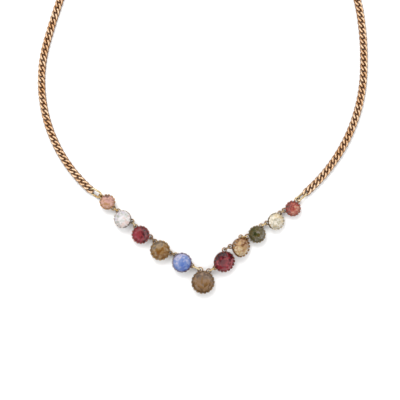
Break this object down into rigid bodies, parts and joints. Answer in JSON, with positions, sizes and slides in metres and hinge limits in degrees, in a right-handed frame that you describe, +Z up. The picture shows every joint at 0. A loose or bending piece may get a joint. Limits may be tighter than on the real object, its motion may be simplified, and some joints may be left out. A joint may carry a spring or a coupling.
{
  "type": "gemstone necklace",
  "caption": "Necklace of graduated round claw-set stones in mixed colours on a gold curb chain, lying as an open loop.",
  "frame": {"origin": "on the surface that the necklace lies on, at the middle of its bounding box seen from above", "axes": "+X to the right as it lies before the viewer, +Y from the stones towards the clasp, +Z up from the surface"},
  "size_m": [0.1322, 0.165, 0.0065],
  "materials": {
    "chain_gold": "polished rose-yellow gold",
    "setting_gold": "aged rose-yellow gold",
    "dusty_pink_stone": "faceted, dusty pink",
    "clear_stone": "faceted, colourless",
    "garnet_stone": "faceted, garnet red",
    "golden_brown_stone": "faceted, golden brown",
    "cornflower_stone": "faceted, cornflower blue",
    "smoky_stone": "faceted, smoky brown",
    "deep_garnet_stone": "faceted, deep garnet red",
    "champagne_stone": "faceted, champagne",
    "green_stone": "faceted, olive green",
    "cream_stone": "faceted, pale cream",
    "rose_stone": "faceted, rose red"
  },
  "bodies": {
    "root": {"chain_left": "chain_gold", "chain_right": "chain_gold", "clasp": "chain_gold", "chain_link_left": "chain_gold", "chain_link_right": "chain_gold", "setting_1": "setting_gold", "setting_2": "setting_gold", "setting_3": "setting_gold", "setting_4": "setting_gold", "setting_5": "setting_gold", "setting_6": "setting_gold", "setting_7": "setting_gold", "setting_8": "setting_gold", "setting_9": "setting_gold", "setting_10": "setting_gold", "setting_11": "setting_gold", "stone_1": "dusty_pink_stone", "stone_2": "clear_stone", "stone_3": "garnet_stone", "stone_4": "golden_brown_stone", "stone_5": "cornflower_stone", "stone_6": "smoky_stone", "stone_7": "deep_garnet_stone", "stone_8": "champagne_stone", "stone_9": "green_stone", "stone_10": "cream_stone", "stone_11": "rose_stone", "jump_link_1": "setting_gold", "jump_link_2": "setting_gold", "jump_link_3": "setting_gold", "jump_link_4": "setting_gold", "jump_link_5": "setting_gold", "jump_link_6": "setting_gold", "jump_link_7": "setting_gold", "jump_link_8": "setting_gold", "jump_link_9": "setting_gold", "jump_link_10": "setting_gold"}
  },
  "joints": []
}
